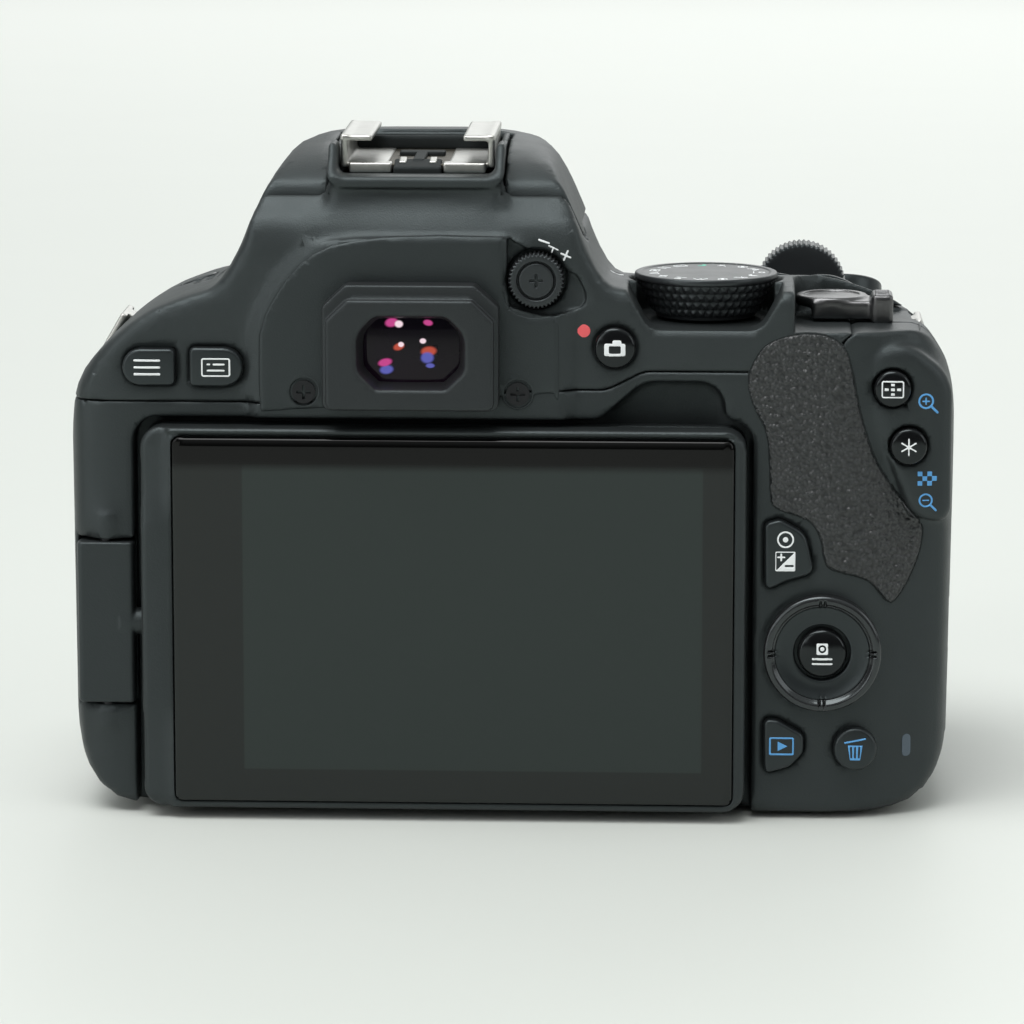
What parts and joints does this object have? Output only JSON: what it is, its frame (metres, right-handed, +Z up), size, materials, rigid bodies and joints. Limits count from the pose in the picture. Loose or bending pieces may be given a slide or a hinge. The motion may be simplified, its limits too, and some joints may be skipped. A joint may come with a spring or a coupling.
{
  "type": "dslr camera",
  "caption": "Compact single-lens reflex camera body with a vari-angle rear screen, pop-up flash, accessory shoe, mode dial and bayonet lens mount.",
  "frame": {"origin": "centre of the mouth of the tripod socket, on the base plane and under the lens axis", "axes": "+Z up, +Y along the lens axis towards the subject, +X towards the hand grip (the right hand of the person holding it)"},
  "size_m": [0.1224, 0.0698, 0.0941],
  "materials": {
    "body_plastic": "fine-textured matte black",
    "panel_plastic": "matte black",
    "button_gloss": "polished black",
    "button_satin": "satin black",
    "grip_rubber": "leather-grained black",
    "soft_cover": "fine matte black",
    "dial_black": "satin black, knurled",
    "lever_metal": "gunmetal",
    "bright_steel": "satin",
    "black_screw": "black oxide",
    "pin_steel": "ground",
    "frame_steel": "pressed",
    "screen_glass": "polished, dark",
    "viewfinder_glass": "coated",
    "optical_glass": "polished",
    "mirror_silver": "front-surface mirror",
    "lamp_clear": "ribbed",
    "signal_lamp": "clear lens",
    "circuit_board": "solder resist",
    "inner_black": "flocked black",
    "cell_plastic": "smooth"
  },
  "bodies": {
    "camera_body": {"base_plate": "panel_plastic", "battery": "cell_plastic", "chassis": "frame_steel", "eyepiece_frame": "panel_plastic", "eyepiece_panel": "panel_plastic", "eyepiece_window": "viewfinder_glass", "front_cover": "body_plastic", "grip_rubbers": "grip_rubber", "hot_shoe_base": "panel_plastic", "hot_shoe_rails": "bright_steel", "image_sensor": "circuit_board", "lamps": "signal_lamp", "lens_mount_ring": "bright_steel", "main_board": "circuit_board", "memory_card": "cell_plastic", "mirror_box": "inner_black", "pivot_pins": "pin_steel", "rear_cover": "body_plastic", "screws": "black_screw", "shutter_frame": "inner_black", "strap_lugs": "bright_steel", "top_cover": "body_plastic", "tripod_socket": "bright_steel", "viewfinder_prism": "optical_glass"},
    "screen_hinge": {"screen_hinge": "panel_plastic"},
    "screen": {"screen_back_shell": "body_plastic", "screen_front_frame": "panel_plastic", "screen_glass": "screen_glass"},
    "mode_dial": {"mode_dial": "dial_black"},
    "main_dial": {"main_dial": "dial_black"},
    "power_lever": {"power_lever": "lever_metal"},
    "shutter_button": {"shutter_button": "button_gloss"},
    "iso_button": {"iso_button": "button_satin"},
    "display_button": {"display_button": "button_satin"},
    "wireless_button": {"wireless_button": "button_satin"},
    "flash_button": {"flash_button": "button_satin"},
    "cross_key_gimbal": {"cross_key_gimbal": "inner_black"},
    "cross_keys": {"cross_key_ring": "button_satin"},
    "set_button": {"set_button": "button_gloss"},
    "menu_button": {"menu_button": "button_gloss"},
    "info_button": {"info_button": "button_gloss"},
    "exposure_button": {"exposure_button": "button_satin"},
    "playback_button": {"playback_button": "button_satin"},
    "live_view_button": {"live_view_button": "button_gloss"},
    "focus_point_button": {"focus_point_button": "button_gloss"},
    "exposure_lock_button": {"exposure_lock_button": "button_gloss"},
    "erase_button": {"erase_button": "button_satin"},
    "dioptre_knob": {"dioptre_knob": "dial_black"},
    "eyepiece_lens": {"eyepiece_lens": "optical_glass"},
    "flash_head": {"flash_head": "body_plastic", "flash_lamp": "lamp_clear"},
    "lens_release_button": {"lens_release_button": "button_satin"},
    "lens_lock_pin": {"lens_lock_pin": "bright_steel"},
    "main_mirror": {"main_mirror": "mirror_silver"},
    "sub_mirror": {"sub_mirror": "mirror_silver"},
    "shutter_curtain": {"shutter_curtain": "inner_black"},
    "battery_door": {"battery_door": "panel_plastic"},
    "battery_door_latch": {"battery_door_latch": "button_satin"},
    "left_cover": {"left_cover": "soft_cover"},
    "right_cover": {"right_cover": "soft_cover"}
  },
  "joints": [
    {"name": "screen_swing", "type": "hinge", "parent": "camera_body", "child": "screen_hinge", "pos_m": [-0.043, -0.0186, 0.0272], "axis": [0, 0, -1], "range_deg": [0, 175]},
    {"name": "screen_tilt", "type": "hinge", "parent": "screen_hinge", "child": "screen", "pos_m": [-0.036, -0.0186, 0.0272], "axis": [1, 0, 0], "range_deg": [-90, 180]},
    {"name": "mode_dial_turn", "type": "hinge", "parent": "camera_body", "child": "mode_dial", "pos_m": [0.0399, -0.006, 0.072], "axis": [0, 0, 1], "continuous": true},
    {"name": "main_dial_turn", "type": "hinge", "parent": "camera_body", "child": "main_dial", "pos_m": [0.0534, 0.0182, 0.0698], "axis": [0, 1, 0], "continuous": true},
    {"name": "power_lever_turn", "type": "hinge", "parent": "camera_body", "child": "power_lever", "pos_m": [0.0583, -0.0035, 0.071], "axis": [0, 0, 1], "range_deg": [-20, 20]},
    {"name": "shutter_button_press", "type": "slide", "parent": "camera_body", "child": "shutter_button", "axis": [0, -0.3875, -0.9219], "range_m": [0, 0.0012]},
    {"name": "iso_button_press", "type": "slide", "parent": "camera_body", "child": "iso_button", "axis": [0, 0, -1], "range_m": [0, 0.0007]},
    {"name": "display_button_press", "type": "slide", "parent": "camera_body", "child": "display_button", "axis": [0, 0, -1], "range_m": [0, 0.0007]},
    {"name": "wireless_button_press", "type": "slide", "parent": "camera_body", "child": "wireless_button", "axis": [0, 0, -1], "range_m": [0, 0.0007]},
    {"name": "flash_button_press", "type": "slide", "parent": "camera_body", "child": "flash_button", "axis": [0, -1, 0], "range_m": [0, 0.0007]},
    {"name": "cross_key_up_down", "type": "hinge", "parent": "camera_body", "child": "cross_key_gimbal", "pos_m": [0.0564, -0.0181, 0.0238], "axis": [1, 0, 0], "range_deg": [-3, 3]},
    {"name": "cross_key_left_right", "type": "hinge", "parent": "cross_key_gimbal", "child": "cross_keys", "pos_m": [0.0564, -0.0181, 0.0238], "axis": [0, 0, 1], "range_deg": [-3, 3]},
    {"name": "set_button_press", "type": "slide", "parent": "camera_body", "child": "set_button", "axis": [0, 1, 0], "range_m": [0, 0.0007]},
    {"name": "menu_button_press", "type": "slide", "parent": "camera_body", "child": "menu_button", "axis": [0, 1, 0], "range_m": [0, 0.0007]},
    {"name": "info_button_press", "type": "slide", "parent": "camera_body", "child": "info_button", "axis": [0, 1, 0], "range_m": [0, 0.0007]},
    {"name": "exposure_button_press", "type": "slide", "parent": "camera_body", "child": "exposure_button", "axis": [0, 1, 0], "range_m": [0, 0.0007]},
    {"name": "playback_button_press", "type": "slide", "parent": "camera_body", "child": "playback_button", "axis": [0, 1, 0], "range_m": [0, 0.0007]},
    {"name": "live_view_button_press", "type": "slide", "parent": "camera_body", "child": "live_view_button", "axis": [0, 1, 0], "range_m": [0, 0.0007]},
    {"name": "focus_point_button_press", "type": "slide", "parent": "camera_body", "child": "focus_point_button", "axis": [0, 1, 0], "range_m": [0, 0.0007]},
    {"name": "exposure_lock_button_press", "type": "slide", "parent": "camera_body", "child": "exposure_lock_button", "axis": [0, 1, 0], "range_m": [0, 0.0007]},
    {"name": "erase_button_press", "type": "slide", "parent": "camera_body", "child": "erase_button", "axis": [0, 1, 0], "range_m": [0, 0.0007]},
    {"name": "dioptre_turn", "type": "hinge", "parent": "camera_body", "child": "dioptre_knob", "pos_m": [0.0168, -0.02, 0.0755], "axis": [0, 1, 0], "range_deg": [-150, 150]},
    {"name": "eyepiece_focus", "type": "slide", "parent": "camera_body", "child": "eyepiece_lens", "axis": [0, 1, 0], "range_m": [-0.00138, 0.00138]},
    {"name": "flash_lift", "type": "hinge", "parent": "camera_body", "child": "flash_head", "pos_m": [0, -0.0095, 0.0855], "axis": [1, 0, 0], "range_deg": [0, 65]},
    {"name": "lens_release_press", "type": "slide", "parent": "camera_body", "child": "lens_release_button", "axis": [0, -1, 0], "range_m": [0, 0.0018]},
    {"name": "lens_lock_retract", "type": "slide", "parent": "camera_body", "child": "lens_lock_pin", "axis": [0, -1, 0], "range_m": [0, 0.0016]},
    {"name": "mirror_flip", "type": "hinge", "parent": "camera_body", "child": "main_mirror", "pos_m": [0, 0.0062, 0.0542], "axis": [1, 0, 0], "range_deg": [0, 45]},
    {"name": "sub_mirror_fold", "type": "hinge", "parent": "main_mirror", "child": "sub_mirror", "pos_m": [0, 0.01575, 0.04253], "axis": [1, 0, 0], "range_deg": [-90, 0]},
    {"name": "shutter_travel", "type": "slide", "parent": "camera_body", "child": "shutter_curtain", "axis": [0, 0, -1], "range_m": [0, 0.0172]},
    {"name": "battery_door_open", "type": "hinge", "parent": "camera_body", "child": "battery_door", "pos_m": [0.047, 0.02, 0.0016], "axis": [0, 1, 0], "range_deg": [0, 80]},
    {"name": "battery_latch_slide", "type": "slide", "parent": "battery_door", "child": "battery_door_latch", "axis": [1, 0, 0], "range_m": [0, 0.0012]},
    {"name": "left_cover_open", "type": "hinge", "parent": "camera_body", "child": "left_cover", "pos_m": [-0.04785, 0.0078, 0.03], "axis": [0, 0, -1], "range_deg": [0, 100]},
    {"name": "right_cover_open", "type": "hinge", "parent": "camera_body", "child": "right_cover", "pos_m": [0.07305, 0.0052, 0.03], "axis": [0, 0, 1], "range_deg": [0, 100]}
  ],
  "couplings": [
    {"joint": "screen_tilt", "follows": "screen_swing", "ratio": 0.15},
    {"joint": "dioptre_turn", "follows": "eyepiece_focus", "rad_per_m": 1886.8},
    {"joint": "lens_lock_retract", "follows": "lens_release_press", "ratio": 0.85},
    {"joint": "sub_mirror_fold", "follows": "mirror_flip", "ratio": -2}
  ]
}
